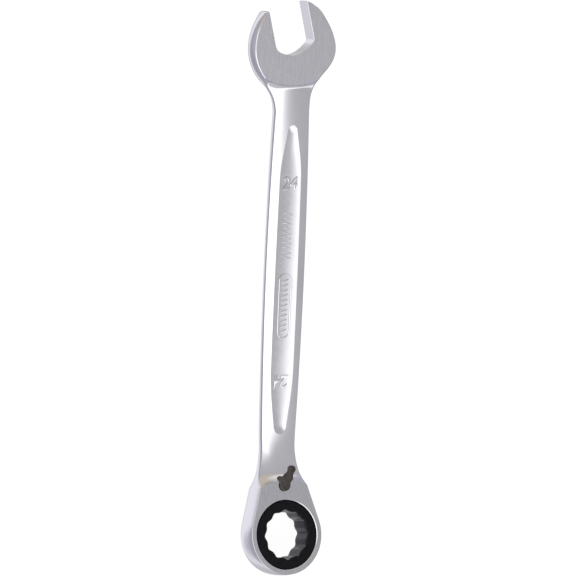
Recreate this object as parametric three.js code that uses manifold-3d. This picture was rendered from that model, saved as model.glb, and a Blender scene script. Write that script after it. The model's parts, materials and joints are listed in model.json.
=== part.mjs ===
// Reversible ratcheting combination wrench, 24 mm, as an assembly of separate pieces.
// Millimetres, +Z up. +Y runs along the handle from the ring head to the open jaw.
// The origin is at the bottom centre of the bounding box.
import * as THREE from 'three';
import { mergeVertices } from 'three/addons/utils/BufferGeometryUtils.js';
import Module from 'manifold-3d';

const wasm = await Module();
wasm.setup();

const DEG = Math.PI / 180;

// Handle and open jaw
const NOMINAL_SIZE = 24;
const JAW_GAP = NOMINAL_SIZE + 0.1;
const JAW_TURN = 15 * DEG;
const JAW_HALF_THICKNESS = 4.49;
const JAW_BASE_Y = 264.5;
const JAW_FACE_X = -3.2;
const JAW_FACE_Y = 289.2;
const JAW_FACE_RADIUS = 41.1;
const HANDLE_HALF_WIDTH = 12.3;
const HANDLE_BOW = 1.5;
const HANDLE_MIDDLE_Y = 144;
const HANDLE_HALF_SPAN = 86;
const CROWN_HALF_THICKNESS = 3.1;
const CROWN_DROP = 1.67;
const PANEL_HALF_THICKNESS = 2.2;
const PANEL_START_Y = 56.1;
const PANEL_END_Y = 226.5;
const BADGE_Y = 127.1;
const BADGE_LENGTH = 36.2;
const BADGE_WIDTH = 8.2;
const BADGE_RISE = 0.3;

// Ring head, in its own frame: origin at the ring centre, +Y toward the handle
const HEAD_HALF_THICKNESS = 6.67;
const HEAD_RADIUS = 22.3;
const HEAD_FACE_RADIUS = 30.1;
const HEAD_TAPER = 17.2 * DEG;
const RING_NECK_Y = 50;
const RING_NECK_HALF_WIDTH = 10.5;
const JAW_NECK_Y = 233;
const JAW_NECK_HALF_WIDTH = 10.7;
const BEND_STEPS = 4;
const BEND_ANGLE = 12 * DEG;
const BEND_FIRST_Y = 34.6;
const BEND_SPACING = 7.13;
const BORE_RADIUS = 20;
const LIP_RADIUS = 19;
const LIP_BOTTOM_Z = 5.3;
const GROOVE_RADIUS = 21;
const GROOVE_BOTTOM_Z = -5.95;
const GROOVE_TOP_Z = -4.3;
const POCKET_HALF_HEIGHT = 4;
const POCKET_INNER_RADIUS = 18;
const POCKET_OUTER_RADIUS = 24.3;
const POCKET_SHANK_RADIUS = 4.5;
const GAP = 0.3;
const REST_LEAN = 0.3035 * DEG;

// Ratchet gear
const TEETH = 72;
const TOOTH_TIP_RADIUS = 19.7;
const TOOTH_ROOT_RADIUS = 18.9;
const HUB_RADIUS = 18.7;
const GEAR_HALF_HEIGHT = 6.5;
const GEAR_BAND_BOTTOM_Z = -4.15;
const GEAR_BAND_TOP_Z = 5;
const DRIVE_FLATS = NOMINAL_SIZE + 0.2;

// Reversing lever and pawl
const LEVER_Y = 27.2;
const LEVER_TURN = 31 * DEG;
const SHANK_RADIUS = 3.1;
const SHANK_BOTTOM_Z = -3.7;
const LEVER_HOLE_RADIUS = 3.4;
const PIN_RADIUS = 2.2;
const PIN_HOLE_RADIUS = 2.5;
const COUNTERBORE_RADIUS = 3.6;
const COUNTERBORE_Z = -4.9;
const PIN_END_Z = -6.5;
const CLIP_GROOVE_RADIUS = 1.65;
const CLIP_GROOVE_BOTTOM_Z = -6.1;
const CLIP_INNER_RADIUS = 1.95;
const CLIP_OUTER_RADIUS = 3.2;
const CLIP_BOTTOM_Z = -5.8;
const CLIP_TOP_Z = -5.2;
const PLATE_BOTTOM_Z = HEAD_HALF_THICKNESS + GAP;
const PLATE_THICKNESS = 1.4;
const O_RING_RADIUS = 2.85;
const O_RING_WIRE = 0.35;
const O_RING_Z = 5.3;
const DETENT_HOLE_RADIUS = 1.15;
const DETENT_HOLE_END_Y = 1.9;
const SPRING_WIRE = 0.14;
const SPRING_RADIUS = 0.68;
const SPRING_LENGTH = 1.7;
const SPRING_TURNS = 4;
const SPRING_START_Y = -0.25;
const PLUNGER_RADIUS = 0.85;
const PLUNGER_LENGTH = 3.4;
const PLUNGER_START_Y = -0.6;
const PAWL_SWING = 4.65 * DEG;
const PAWL_PIVOT_Y = 22.5;
const PAWL_HALF_HEIGHT = POCKET_HALF_HEIGHT - GAP;
const PAWL_INNER_RADIUS = 17.9;
const PAWL_OUTER_RADIUS = 23.4;
const PAWL_SADDLE_RADIUS = 4.35;

function material(color, metalness, roughness) {
  return new THREE.MeshStandardMaterial({ color, metalness, roughness });
}

function signedVolume(position, index) {
  const a = new THREE.Vector3();
  const b = new THREE.Vector3();
  const c = new THREE.Vector3();
  let volume = 0;
  for (let i = 0; i < index.length; i += 3) {
    a.fromBufferAttribute(position, index[i]);
    b.fromBufferAttribute(position, index[i + 1]);
    c.fromBufferAttribute(position, index[i + 2]);
    volume += a.dot(b.cross(c));
  }
  return volume;
}

// A closed geometry as a solid that can be joined and cut.
function solid(geometry) {
  const bare = geometry.clone();
  bare.deleteAttribute('normal');
  bare.deleteAttribute('uv');
  const merged = mergeVertices(bare, 1e-5);
  const position = merged.getAttribute('position');
  const triangles = [];
  const index = merged.index.array;
  for (let i = 0; i < index.length; i += 3) {
    const [a, b, c] = [index[i], index[i + 1], index[i + 2]];
    if (a !== b && b !== c && c !== a) triangles.push(a, b, c);
  }
  if (signedVolume(position, triangles) < 0) triangles.reverse();
  return new wasm.Manifold(new wasm.Mesh({
    numProp: 3,
    vertProperties: new Float32Array(position.array),
    triVerts: new Uint32Array(triangles),
  }));
}

function joined(solids) {
  return solids.reduce((whole, next) => whole.add(next));
}

function geometryOf(manifold) {
  const mesh = manifold.getMesh();
  const geometry = new THREE.BufferGeometry();
  geometry.setAttribute('position', new THREE.BufferAttribute(mesh.vertProperties, 3));
  geometry.setIndex(new THREE.BufferAttribute(mesh.triVerts, 1));
  geometry.computeVertexNormals();
  return geometry;
}

function piece(name, manifold, look) {
  const mesh = new THREE.Mesh(geometryOf(manifold), look);
  mesh.name = name;
  return mesh;
}

// A plan outline raised from z = low to z = high.
function raised(shape, low, high, curveSegments = 12) {
  const geometry = new THREE.ExtrudeGeometry(shape, {
    depth: high - low, bevelEnabled: false, curveSegments,
  });
  return solid(geometry.translate(0, 0, low));
}

// A plan outline whose edges draw in by inset toward both faces.
function raisedWithEdges(shape, halfHeight, edgeHeight, inset, curveSegments) {
  const geometry = new THREE.ExtrudeGeometry(shape, {
    depth: 2 * (halfHeight - edgeHeight),
    bevelEnabled: true,
    bevelThickness: edgeHeight,
    bevelSize: inset,
    bevelOffset: -inset,
    bevelSegments: 2,
    curveSegments,
  });
  return solid(geometry.translate(0, 0, edgeHeight - halfHeight));
}

// A (y, z) outline carried along x.
function crossways(points, halfWidth) {
  const shape = new THREE.Shape(points.map(([y, z]) => new THREE.Vector2(y, z)));
  const geometry = new THREE.ExtrudeGeometry(shape, { depth: 2 * halfWidth, bevelEnabled: false });
  geometry.translate(0, 0, -halfWidth);
  const turn = new THREE.Matrix4().makeBasis(
    new THREE.Vector3(0, 1, 0), new THREE.Vector3(0, 0, 1), new THREE.Vector3(1, 0, 0));
  return solid(geometry.applyMatrix4(turn));
}

// An (r, z) outline turned about a vertical axis at (x, y).
function turned(points, segments = 48, x = 0, y = 0) {
  const profile = points.map(([r, z]) => new THREE.Vector2(r, z));
  const geometry = new THREE.LatheGeometry(profile, segments);
  return solid(geometry.rotateX(Math.PI / 2).translate(x, y, 0));
}

function circle(radius, x = 0, y = 0) {
  const shape = new THREE.Shape();
  shape.absarc(x, y, radius, 0, 2 * Math.PI, false);
  return shape;
}

// ---- Forged body, drawn straight and then bent ----

function handleOutline() {
  const shape = new THREE.Shape();
  const radius = (HANDLE_HALF_SPAN ** 2 + HANDLE_BOW ** 2) / (2 * HANDLE_BOW);
  const reach = 119;
  const half = Math.asin(reach / radius);
  const centre = HANDLE_HALF_WIDTH - radius;
  shape.absarc(centre, HANDLE_MIDDLE_Y, radius, -half, half, false);
  shape.absarc(-centre, HANDLE_MIDDLE_Y, radius, Math.PI - half, Math.PI + half, false);
  return shape;
}

function crownSection() {
  const shape = new THREE.Shape();
  const steps = 6;
  const limit = 13;
  const height = (x) => CROWN_HALF_THICKNESS - CROWN_DROP * (x / HANDLE_HALF_WIDTH) ** 2;
  shape.moveTo(-limit, -height(limit));
  for (let i = 1; i <= steps; i += 1) {
    const x = -limit + (2 * limit * i) / steps;
    shape.lineTo(x, -height(x));
  }
  for (let i = 0; i <= steps; i += 1) {
    const x = limit - (2 * limit * i) / steps;
    shape.lineTo(x, height(x));
  }
  return shape;
}

function crownedBar() {
  const length = 224;
  const geometry = new THREE.ExtrudeGeometry(crownSection(), { depth: length, bevelEnabled: false });
  geometry.rotateX(-Math.PI / 2).translate(0, 26, 0);
  return solid(geometry).intersect(raised(handleOutline(), -6, 6, 10));
}

function panelOutline() {
  const shape = new THREE.Shape();
  const startRadius = 3.6;
  const endRadius = 3;
  const startY = PANEL_START_Y + startRadius;
  const endY = PANEL_END_Y - endRadius;
  shape.absarc(0, startY, startRadius, Math.PI, 2 * Math.PI, false);
  shape.quadraticCurveTo(7.2, 82, 7.1, 109);
  shape.lineTo(7.15, 134);
  shape.lineTo(6.9, 167);
  shape.quadraticCurveTo(6.9, 204, endRadius, endY);
  shape.absarc(0, endY, endRadius, 0, Math.PI, false);
  shape.quadraticCurveTo(-6.9, 204, -6.9, 167);
  shape.lineTo(-7.15, 134);
  shape.lineTo(-7.1, 109);
  shape.quadraticCurveTo(-7.2, 82, -startRadius, startY);
  return shape;
}

function badgeOutline() {
  const shape = new THREE.Shape();
  const radius = BADGE_WIDTH / 2;
  const half = BADGE_LENGTH / 2 - radius;
  shape.absarc(0, BADGE_Y - half, radius, Math.PI, 2 * Math.PI, false);
  shape.absarc(0, BADGE_Y + half, radius, 0, Math.PI, false);
  return shape;
}

function panelCut() {
  const floor = PANEL_HALF_THICKNESS;
  const top = 5;
  const panel = raised(panelOutline(), floor, top, 5);
  const badge = raised(badgeOutline(), floor - 1, floor + BADGE_RISE, 6);
  const cut = panel.subtract(badge);
  return cut.add(cut.mirror([0, 0, 1]));
}

function ringOutline() {
  const shape = new THREE.Shape();
  const endX = RING_NECK_HALF_WIDTH;
  const sideY = 33.2;
  const tangentX = HEAD_RADIUS * Math.cos(HEAD_TAPER);
  const tangentY = HEAD_RADIUS * Math.sin(HEAD_TAPER);
  const sideX = tangentX - (sideY - tangentY) * Math.tan(HEAD_TAPER);
  const turnY = sideY + (sideX - endX) / Math.tan(HEAD_TAPER);
  shape.absarc(0, 0, HEAD_RADIUS, Math.PI - HEAD_TAPER, 2 * Math.PI + HEAD_TAPER, false);
  shape.lineTo(sideX, sideY);
  shape.quadraticCurveTo(endX, turnY, endX, RING_NECK_Y);
  shape.lineTo(-endX, RING_NECK_Y);
  shape.quadraticCurveTo(-endX, turnY, -sideX, sideY);
  return shape;
}

// The concave run-out from a head's flat face down to the handle, as an arc about (x, y).
function runOut(radius, top, steps, x, y) {
  const profile = [[radius, 14], [radius, top]];
  for (const [out, level] of steps) profile.push([radius + out, level]);
  const [lastOut, lastLevel] = steps[steps.length - 1];
  profile.push([radius + lastOut + 40, lastLevel]);
  profile.push([radius + lastOut + 40, 14]);
  profile.push([radius, 14]);
  const upper = turned(profile, 56, x, y);
  return upper.add(upper.mirror([0, 0, 1]));
}

function ringBlock() {
  const block = raisedWithEdges(ringOutline(), HEAD_HALF_THICKNESS, 0.9, 0.4, 20);
  const steps = [[0.9, 5.5], [2.2, 4.4], [4.1, 3.6], [6.8, 2.9], [11, 2.1], [16, 1.2], [22, 0.6]];
  return block.subtract(runOut(HEAD_FACE_RADIUS, HEAD_HALF_THICKNESS, steps, 0, 0));
}

function jawOutline() {
  const neck = JAW_NECK_HALF_WIDTH;
  const shape = new THREE.Shape();
  shape.moveTo(-neck, JAW_NECK_Y);
  shape.lineTo(neck, JAW_NECK_Y);
  shape.bezierCurveTo(10.6, 243, 12.8, 247.8, 17.2, 253.4);
  shape.bezierCurveTo(21.4, 257.8, 25.7, 262, 25.4, 268.9);
  shape.bezierCurveTo(25.2, 276.3, 18.2, 288, 9.6, 292.1);
  shape.quadraticCurveTo(7.3, 293.7, 5.2, 294);
  shape.lineTo(-18.2, 287.6);
  shape.quadraticCurveTo(-20.4, 288, -21.2, 286.3);
  shape.bezierCurveTo(-24.6, 282, -27.3, 275, -27.4, 268.5);
  shape.bezierCurveTo(-27.5, 261, -24.4, 254.6, -19.45, 249.7);
  shape.bezierCurveTo(-15.8, 246, -11, 241.5, -neck, JAW_NECK_Y);
  return shape;
}

// The gap between the jaws, drawn upright about the middle of its base.
function gapOutline() {
  const half = JAW_GAP / 2;
  const shape = new THREE.Shape();
  shape.moveTo(-half, 60);
  shape.lineTo(-half, 6.6);
  shape.quadraticCurveTo(-half, 5, -9.8, 3.6);
  shape.quadraticCurveTo(0, -2.6, 9.8, 3.6);
  shape.quadraticCurveTo(half, 5, half, 6.6);
  shape.lineTo(half, 60);
  return shape;
}

function jawBlock() {
  const block = raisedWithEdges(jawOutline(), JAW_HALF_THICKNESS, 3.3, 1.3, 7);
  const steps = [[0.8, 3.6], [1.8, 2.8], [3.6, 2.1], [8, 1.3], [13, 0.6]];
  const gap = raised(gapOutline(), -8, 8, 8).rotate([0, 0, JAW_TURN / DEG]).translate([0, JAW_BASE_Y, 0]);
  const fall = runOut(JAW_FACE_RADIUS, JAW_HALF_THICKNESS, steps, JAW_FACE_X, JAW_FACE_Y);
  return block.subtract(fall).subtract(gap);
}

function boreCut() {
  const far = 9;
  return turned([
    [0, -far], [BORE_RADIUS + 0.4, -far], [BORE_RADIUS + 0.4, -HEAD_HALF_THICKNESS],
    [BORE_RADIUS, -HEAD_HALF_THICKNESS + 0.4], [BORE_RADIUS, GROOVE_BOTTOM_Z],
    [GROOVE_RADIUS, GROOVE_BOTTOM_Z], [GROOVE_RADIUS, GROOVE_TOP_Z],
    [BORE_RADIUS, GROOVE_TOP_Z], [BORE_RADIUS, LIP_BOTTOM_Z], [LIP_RADIUS, LIP_BOTTOM_Z],
    [LIP_RADIUS, HEAD_HALF_THICKNESS - 0.35], [LIP_RADIUS + 0.35, HEAD_HALF_THICKNESS],
    [LIP_RADIUS + 0.35, far], [0, far],
  ], 64);
}

function pocketCut() {
  const spread = 25 * DEG;
  const middle = Math.PI / 2;
  const shape = new THREE.Shape();
  shape.absarc(0, 0, POCKET_OUTER_RADIUS, middle - spread, middle + spread, false);
  shape.absarc(0, 0, POCKET_INNER_RADIUS, middle + spread, middle - spread, true);
  const pocket = raised(shape, -POCKET_HALF_HEIGHT, POCKET_HALF_HEIGHT, 8);
  const room = circle(POCKET_SHANK_RADIUS, 0, LEVER_Y);
  return pocket.add(raised(room, -POCKET_HALF_HEIGHT, POCKET_HALF_HEIGHT, 10));
}

function leverHoleCut() {
  const far = 9;
  const edge = 0.1;
  const inPocket = POCKET_HALF_HEIGHT - 0.1;
  const slim = 2;
  return turned([
    [0, -far], [COUNTERBORE_RADIUS, -far], [COUNTERBORE_RADIUS, COUNTERBORE_Z],
    [PIN_HOLE_RADIUS, COUNTERBORE_Z], [PIN_HOLE_RADIUS, -inPocket], [slim, -inPocket], [slim, inPocket],
    [LEVER_HOLE_RADIUS, inPocket], [LEVER_HOLE_RADIUS, HEAD_HALF_THICKNESS - edge],
    [LEVER_HOLE_RADIUS + edge, HEAD_HALF_THICKNESS], [LEVER_HOLE_RADIUS + edge, far], [0, far],
  ], 24, 0, LEVER_Y);
}

function straightForging() {
  const outside = joined([crownedBar(), ringBlock(), jawBlock()]);
  const cuts = joined([panelCut(), boreCut(), pocketCut(), leverHoleCut()]);
  return outside.subtract(cuts);
}

// One step of the bend, about the crosswise line at this y.
function bendStep(y) {
  const step = BEND_ANGLE / BEND_STEPS;
  return new THREE.Matrix4().makeTranslation(0, y, 0)
    .multiply(new THREE.Matrix4().makeRotationX(-step))
    .multiply(new THREE.Matrix4().makeTranslation(0, -y, 0));
}

function bendLine(i) {
  return BEND_FIRST_Y + i * BEND_SPACING;
}

// The placement of the slice just before bend line i, and so of the head at i = 0.
function bendMatrix(i) {
  const matrix = new THREE.Matrix4();
  for (let k = BEND_STEPS - 1; k >= i; k -= 1) matrix.multiply(bendStep(bendLine(k)));
  return matrix;
}

// The region between two mitre planes, shorter on the inner side of the bend.
function mitredSlab(low, high) {
  const tall = 12;
  const overlap = 0.02;
  const lean = tall * Math.tan(BEND_ANGLE / BEND_STEPS / 2);
  const start = low === null ? [-60, -60] : [low - overlap - lean, low - overlap + lean];
  const end = high === null ? [360, 360] : [high + overlap + lean, high + overlap - lean];
  return crossways([[start[0], -tall], [end[0], -tall], [end[1], tall], [start[1], tall]], 60);
}

function wrenchBody() {
  const straight = straightForging();
  const slices = [];
  for (let i = 0; i <= BEND_STEPS; i += 1) {
    const low = i === 0 ? null : bendLine(i - 1);
    const high = i === BEND_STEPS ? null : bendLine(i);
    const slice = straight.intersect(mitredSlab(low, high));
    slices.push(slice.transform(bendMatrix(i).elements));
  }
  return joined(slices);
}

// ---- Ratchet pieces, in the ring head's frame ----

// The toothed outline of the gear, drawn larger by grow for clearance cuts.
function toothedShape(grow = 0) {
  const pitch = (2 * Math.PI) / TEETH;
  const tip = TOOTH_TIP_RADIUS + grow;
  const root = TOOTH_ROOT_RADIUS + grow;
  const tipHalf = pitch * 0.1 + grow / tip;
  const rootHalf = pitch * 0.36 + grow / root;
  const stops = [[root, -rootHalf], [tip, -tipHalf], [tip, tipHalf], [root, rootHalf]];
  const points = [];
  for (let i = 0; i < TEETH; i += 1) {
    for (const [radius, offset] of stops) {
      const angle = i * pitch + offset;
      points.push(new THREE.Vector2(radius * Math.cos(angle), radius * Math.sin(angle)));
    }
  }
  return new THREE.Shape(points);
}

// A double hexagon, with one corner on the head's long axis.
function twelvePointShape() {
  const corner = DRIVE_FLATS / Math.sqrt(3);
  const notch = DRIVE_FLATS / 2 / Math.cos(15 * DEG);
  const points = [];
  for (let i = 0; i < 24; i += 1) {
    const radius = i % 2 === 0 ? corner : notch;
    const angle = i * 15 * DEG;
    points.push(new THREE.Vector2(radius * Math.cos(angle), radius * Math.sin(angle)));
  }
  return new THREE.Shape(points);
}

function ratchetGear() {
  const edge = 0.3;
  const half = GEAR_HALF_HEIGHT;
  const hub = turned([
    [0, -half], [HUB_RADIUS - edge, -half], [HUB_RADIUS, -half + edge],
    [HUB_RADIUS, half - edge], [HUB_RADIUS - edge, half], [0, half],
  ], 60);
  const band = raised(toothedShape(), GEAR_BAND_BOTTOM_Z, GEAR_BAND_TOP_Z);
  const corner = DRIVE_FLATS / Math.sqrt(3);
  const reach = 1;
  const lead = turned([
    [0, -half - reach], [corner + 0.4, -half - reach], [corner - 1.6, -half + reach], [0, -half + reach],
  ], 48);
  const drive = raised(twelvePointShape(), -half - reach, half + reach);
  return joined([hub, band]).subtract(joined([drive, lead, lead.mirror([0, 0, 1])]));
}

// A flat split ring with its opening centred on the +Y direction.
function splitRing(inner, outer, openHalf, low, high, curveSegments) {
  const shape = new THREE.Shape();
  const start = Math.PI / 2 + openHalf;
  const end = Math.PI / 2 - openHalf + 2 * Math.PI;
  shape.absarc(0, 0, outer, start, end, false);
  shape.absarc(0, 0, inner, end, start, true);
  return raised(shape, low, high, curveSegments);
}

function gearSnapRing() {
  const inner = HUB_RADIUS + 0.35;
  const outer = GROOVE_RADIUS - GAP;
  return splitRing(inner, outer, 7 * DEG, GROOVE_BOTTOM_Z + GAP, GROOVE_TOP_Z - GAP, 36);
}

function leverClip() {
  return splitRing(CLIP_INNER_RADIUS, CLIP_OUTER_RADIUS, 38 * DEG, CLIP_BOTTOM_Z, CLIP_TOP_Z, 10);
}

function pawl() {
  const spread = 20 * DEG;
  const middle = Math.PI / 2;
  const shape = new THREE.Shape();
  shape.absarc(0, 0, PAWL_OUTER_RADIUS, middle - spread, middle + spread, false);
  shape.absarc(0, 0, PAWL_INNER_RADIUS, middle + spread, middle - spread, true);
  let body = raised(shape, -PAWL_HALF_HEIGHT, PAWL_HALF_HEIGHT, 12);
  const far = 9;
  const toothClearance = 0.12;
  const gear = raised(toothedShape(toothClearance), -far, far);
  const saddle = raised(circle(PAWL_SADDLE_RADIUS, 0, LEVER_Y), -far, far, 14);
  for (const share of [-1, -0.5, 0, 0.5, 1]) {
    const swing = (share * PAWL_SWING) / DEG;
    const around = (cut) => cut.translate([0, -PAWL_PIVOT_Y, 0])
      .rotate([0, 0, swing]).translate([0, PAWL_PIVOT_Y, 0]);
    body = body.subtract(around(gear)).subtract(around(saddle));
  }
  return body;
}

// The lever's outline seen from above: a round base, one long wing and a curved thumb.
function leverOutline() {
  const shape = new THREE.Shape();
  shape.absarc(0, 0, 3.25, 200 * DEG, 396 * DEG, false);
  shape.quadraticCurveTo(2.2, 2.9, 2.6, 3.9);
  shape.quadraticCurveTo(3.3, 5.3, 2.2, 6.3);
  shape.quadraticCurveTo(1.6, 7.6, 1.95, 9.3);
  shape.bezierCurveTo(2.3, 11.2, 0.9, 12.1, -0.3, 11.9);
  shape.quadraticCurveTo(-2.9, 11.2, -2.65, 9.3);
  shape.quadraticCurveTo(-2, 8, -2.1, 6.9);
  shape.quadraticCurveTo(-2.9, 5.9, -3.2, 4.3);
  shape.quadraticCurveTo(-3.6, 3.4, -4.8, 3);
  shape.quadraticCurveTo(-6.2, 2.6, -6.1, 1.3);
  shape.quadraticCurveTo(-5.9, 0.5, -4.6, 0.2);
  shape.quadraticCurveTo(-3.7, -0.1, -3.05, -1.11);
  return shape;
}

function leverPlate() {
  const half = PLATE_THICKNESS / 2;
  const plate = raisedWithEdges(leverOutline(), half, 0.3, 0.25, 4);
  const ribs = [];
  for (let i = 0; i < 3; i += 1) {
    const bar = new THREE.BoxGeometry(2.4, 0.5, 0.5);
    ribs.push(solid(bar.translate(-0.3, 8.4 + 1.1 * i, half)));
  }
  return joined([plate, ...ribs]).translate([0, 0, PLATE_BOTTOM_Z + half]);
}

// The lever with its thumb along +Y, its detent hole along -Y.
function reversingLever() {
  const top = PLATE_BOTTOM_Z + 0.5;
  const grooveHalf = O_RING_WIRE + 0.2;
  const grooveFloor = O_RING_RADIUS - O_RING_WIRE - 0.25;
  const shank = turned([
    [0, PIN_END_Z], [PIN_RADIUS, PIN_END_Z], [PIN_RADIUS, CLIP_GROOVE_BOTTOM_Z],
    [CLIP_GROOVE_RADIUS, CLIP_GROOVE_BOTTOM_Z], [CLIP_GROOVE_RADIUS, COUNTERBORE_Z],
    [PIN_RADIUS, COUNTERBORE_Z], [PIN_RADIUS, SHANK_BOTTOM_Z], [SHANK_RADIUS, SHANK_BOTTOM_Z],
    [SHANK_RADIUS, O_RING_Z - grooveHalf], [grooveFloor, O_RING_Z - grooveHalf],
    [grooveFloor, O_RING_Z + grooveHalf], [SHANK_RADIUS, O_RING_Z + grooveHalf],
    [SHANK_RADIUS, top], [0, top],
  ], 24);
  const reach = 7;
  const hole = new THREE.CylinderGeometry(DETENT_HOLE_RADIUS, DETENT_HOLE_RADIUS, reach, 14);
  hole.translate(0, DETENT_HOLE_END_Y - reach / 2, 0);
  return joined([shank, leverPlate()]).subtract(solid(hole));
}

function leverORing() {
  return solid(new THREE.TorusGeometry(O_RING_RADIUS, O_RING_WIRE, 6, 24));
}

class SpringPath extends THREE.Curve {
  getPoint(t, target = new THREE.Vector3()) {
    const angle = 2 * Math.PI * SPRING_TURNS * t;
    const x = SPRING_RADIUS * Math.cos(angle);
    const z = SPRING_RADIUS * Math.sin(angle);
    return target.set(x, SPRING_LENGTH * t, z);
  }
}

function detentSpring() {
  const geometry = new THREE.ExtrudeGeometry(circle(SPRING_WIRE), {
    steps: 44, curveSegments: 3, extrudePath: new SpringPath(), bevelEnabled: false,
  });
  return solid(geometry);
}

// A pin with a domed nose toward -Y.
function detentPlunger() {
  const points = [new THREE.Vector2(0, 0), new THREE.Vector2(PLUNGER_RADIUS, 0)];
  const steps = 5;
  for (let i = 0; i <= steps; i += 1) {
    const angle = (i / steps) * (Math.PI / 2);
    const radius = PLUNGER_RADIUS * Math.cos(angle);
    const along = PLUNGER_LENGTH - PLUNGER_RADIUS + PLUNGER_RADIUS * Math.sin(angle);
    points.push(new THREE.Vector2(i === steps ? 0 : radius, along));
  }
  const geometry = new THREE.LatheGeometry(points, 14);
  return solid(geometry.rotateX(Math.PI));
}

// ---- Assembly ----

const chrome = material(0xc9ccd1, 1, 0.18);
const springSteel = material(0x8b8d90, 1, 0.35);
const wrench = new THREE.Group();

// Lying down, the wrench leans a little so that its heel and its jaw tips both touch.
const lying = new THREE.Group();
lying.rotation.x = REST_LEAN;
wrench.add(lying);
lying.add(piece('wrench_body', wrenchBody(), chrome));

const ringHead = new THREE.Group();
ringHead.applyMatrix4(bendMatrix(0));
lying.add(ringHead);
ringHead.add(piece('ratchet_gear', ratchetGear(), material(0x1c1c1f, 0.6, 0.55)));
ringHead.add(piece('gear_snap_ring', gearSnapRing(), springSteel.clone()));

const pawlMesh = piece('pawl', pawl().translate([0, -PAWL_PIVOT_Y, 0]), material(0x5a5d62, 1, 0.4));
pawlMesh.position.set(0, PAWL_PIVOT_Y, 0);
pawlMesh.rotation.z = PAWL_SWING;
ringHead.add(pawlMesh);

const leverGroup = new THREE.Group();
leverGroup.position.set(0, LEVER_Y, 0);
leverGroup.rotation.z = -LEVER_TURN;
ringHead.add(leverGroup);
leverGroup.add(piece('reversing_lever', reversingLever(), material(0x5a5049, 0.8, 0.45)));
leverGroup.add(piece('lever_clip', leverClip(), springSteel.clone()));

const oRing = piece('lever_o_ring', leverORing(), material(0x141414, 0, 0.8));
oRing.position.z = O_RING_Z;
leverGroup.add(oRing);

const spring = piece('detent_spring', detentSpring(), springSteel.clone());
spring.position.y = SPRING_START_Y;
leverGroup.add(spring);

const plunger = piece('detent_plunger', detentPlunger(), material(0x9a9c9f, 1, 0.25));
plunger.position.y = PLUNGER_START_Y;
leverGroup.add(plunger);

wrench.updateMatrixWorld(true);
const box = new THREE.Box3().setFromObject(wrench, true);
wrench.position.set(-(box.min.x + box.max.x) / 2, -(box.min.y + box.max.y) / 2, -box.min.z);
wrench.updateMatrixWorld(true);

export default wrench;
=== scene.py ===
"""Looks of the reversible ratcheting combination wrench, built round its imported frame.

Plan coordinates (x, s) and heights are in millimetres in the ring head's frame: the origin is the
ring's centre, s runs toward the handle and z points through the lever side. The forging is drawn
straight in them, and to_row() bends its neck and carries it into the row frame, in metres.
"""
import json
import math
import random

import bmesh
import bpy
import numpy as np
from mathutils import Matrix, Vector
from mathutils.geometry import delaunay_2d_cdt

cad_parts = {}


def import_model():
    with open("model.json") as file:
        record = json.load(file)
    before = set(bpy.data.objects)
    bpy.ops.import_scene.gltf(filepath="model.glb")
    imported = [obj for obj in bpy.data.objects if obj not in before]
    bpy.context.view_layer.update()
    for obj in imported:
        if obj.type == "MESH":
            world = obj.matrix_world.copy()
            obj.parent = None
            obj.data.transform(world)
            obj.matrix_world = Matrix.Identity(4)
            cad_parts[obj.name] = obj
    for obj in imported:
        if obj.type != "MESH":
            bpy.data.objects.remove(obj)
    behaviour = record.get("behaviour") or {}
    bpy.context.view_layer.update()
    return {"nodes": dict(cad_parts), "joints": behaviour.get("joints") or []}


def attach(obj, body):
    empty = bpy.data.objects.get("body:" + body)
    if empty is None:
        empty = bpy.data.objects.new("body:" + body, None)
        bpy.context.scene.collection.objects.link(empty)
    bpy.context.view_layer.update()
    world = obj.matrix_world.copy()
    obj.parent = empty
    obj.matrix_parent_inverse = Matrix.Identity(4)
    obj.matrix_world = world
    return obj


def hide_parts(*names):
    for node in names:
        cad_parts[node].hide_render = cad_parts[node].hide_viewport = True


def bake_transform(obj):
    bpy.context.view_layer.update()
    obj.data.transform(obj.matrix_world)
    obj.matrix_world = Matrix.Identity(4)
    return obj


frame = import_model()
MM = 0.001

# Handle and open jaw
NOMINAL_SIZE = 24.0
JAW_GAP = NOMINAL_SIZE + 0.1
JAW_TURN = math.radians(15)
JAW_HALF = 4.49
JAW_BASE_S = 264.5
JAW_FACE_CENTRE = (-3.2, 289.2)
JAW_FACE_RADIUS = 41.1
HANDLE_HALF_WIDTH = 12.3
HANDLE_BOW = 1.5
HANDLE_MIDDLE_S = 144.0
HANDLE_HALF_SPAN = 86.0
RING_NECK = (10.5, 50.0)
JAW_NECK = (10.7, 233.0)
CROWN_HALF = 3.1
CROWN_DROP = 1.67

# Sunk panel; an end is its cap radius, its half width and how much it spreads per millimetre
PANEL_START_S = 56.1
PANEL_END_S = 226.5
PANEL_START = (3.7, 3.4, 0.135)
PANEL_END = (3.0, 2.35, 0.185)
PANEL_END_BLEND = 1.4
PANEL_HALF_WIDTH = 7.15
PANEL_WIDEST_S = 125
PANEL_DEPTH = 0.6
RIM_WIDTH = 0.3
RIM_FALL = 0.3

# Marks in the panel
UPPER_NUMERAL_S = 194.2
LOWER_NUMERAL_S = 85.5
NUMERAL_HEIGHT = 7.1
TICKS_S = 165.9
BADGE_S = 127.1
BADGE_LENGTH = 36.2
BADGE_WIDTH = 8.2

# Ring head
HEAD_HALF = 6.67
HEAD_RADIUS = 22.3
HEAD_FACE_RADIUS = 30.1
HEAD_TAPER = math.radians(17.2)
HEAD_SIDE_END_S = 33.2
BEND_ANGLE = math.radians(12)
BEND_RADIUS = 136.0
BEND_START_S = 31.05
BORE_RADIUS = 20.0
LIP_RADIUS = 19.0
LIP_BOTTOM_Z = 5.3
GROOVE_RADIUS = 21.0
GROOVE_BOTTOM_Z = -5.95
GROOVE_TOP_Z = -4.3
POCKET_HALF = 4.0

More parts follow.
